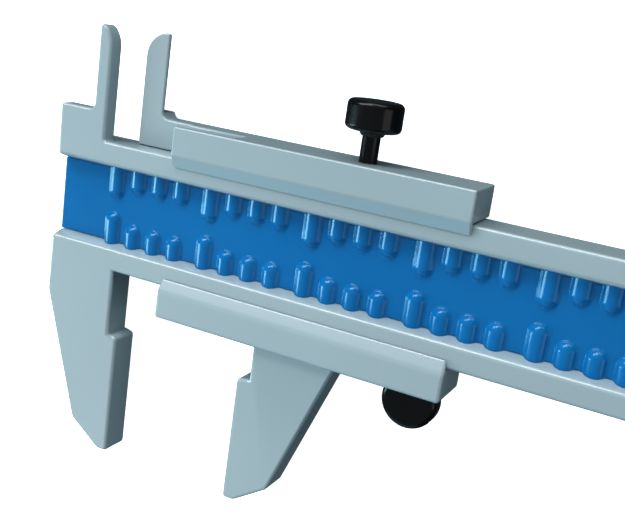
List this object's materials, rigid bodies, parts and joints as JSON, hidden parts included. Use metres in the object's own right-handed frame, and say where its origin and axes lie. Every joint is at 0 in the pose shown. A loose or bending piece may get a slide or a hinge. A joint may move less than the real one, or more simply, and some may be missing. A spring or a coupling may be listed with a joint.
{
  "type": "vernier caliper",
  "caption": "Sliding caliper with fixed and moving outside and inside jaws, a recessed raised-mark scale, a lock screw, a thumb wheel and a depth rod.",
  "frame": {"origin": "centre of the fixed outside jaw's measuring face", "axes": "+X along the beam, out of the fixed measuring face towards the depth rod; +Y from the outside jaws to the inside jaws; +Z out of the caliper's front, which carries the scale"},
  "size_m": [0.2332, 0.0792, 0.0117],
  "materials": {
    "painted_body": "gloss",
    "scale_blue": "gloss",
    "black": "gloss",
    "steel": "satin",
    "brass": "satin",
    "bronze": "satin"
  },
  "bodies": {
    "beam": {"beam_frame": "painted_body", "scale_plate": "scale_blue", "end_plate": "painted_body", "end_plate_screws": "steel"},
    "slider": {"upper_block": "painted_body", "lower_block": "painted_body", "back_plate": "painted_body", "back_plate_screws": "steel", "depth_rod": "steel", "depth_rod_rivets": "steel", "gib_strip": "bronze", "gib_springs": "steel", "wear_strip": "bronze", "lock_bush": "black", "wheel_axle": "steel", "idler_pin": "steel"},
    "pad": {"clamp_pad": "brass"},
    "lock_screw": {"lock_stud": "black", "lock_knob": "black"},
    "wheel": {"thumb_wheel": "black", "wheel_bush": "brass"},
    "idler": {"idler_roller": "steel"}
  },
  "joints": [
    {"name": "slider_slide", "type": "slide", "parent": "beam", "child": "slider", "axis": [1, 0, 0], "range_m": [-0.0263, 0.1237]},
    {"name": "clamp_pad_slide", "type": "slide", "parent": "slider", "child": "pad", "axis": [0, 1, 0], "range_m": [-0.00033, 0.001]},
    {"name": "lock_screw_turn", "type": "hinge", "parent": "pad", "child": "lock_screw", "pos_m": [0.0432, 0.0357, -0.0004], "axis": [0, 1, 0], "range_deg": [-245, 725]},
    {"name": "thumb_wheel_spin", "type": "hinge", "parent": "slider", "child": "wheel", "pos_m": [0.0571, 0.01614, 0], "axis": [0, 0, 1], "continuous": true},
    {"name": "idler_spin", "type": "hinge", "parent": "slider", "child": "idler", "pos_m": [0.0571, 0.02247, 0], "axis": [0, 0, 1], "continuous": true}
  ],
  "couplings": [
    {"joint": "lock_screw_turn", "follows": "clamp_pad_slide", "rad_per_m": 12566},
    {"joint": "thumb_wheel_spin", "follows": "slider_slide", "rad_per_m": -208.33},
    {"joint": "idler_spin", "follows": "slider_slide", "rad_per_m": 666.67}
  ]
}
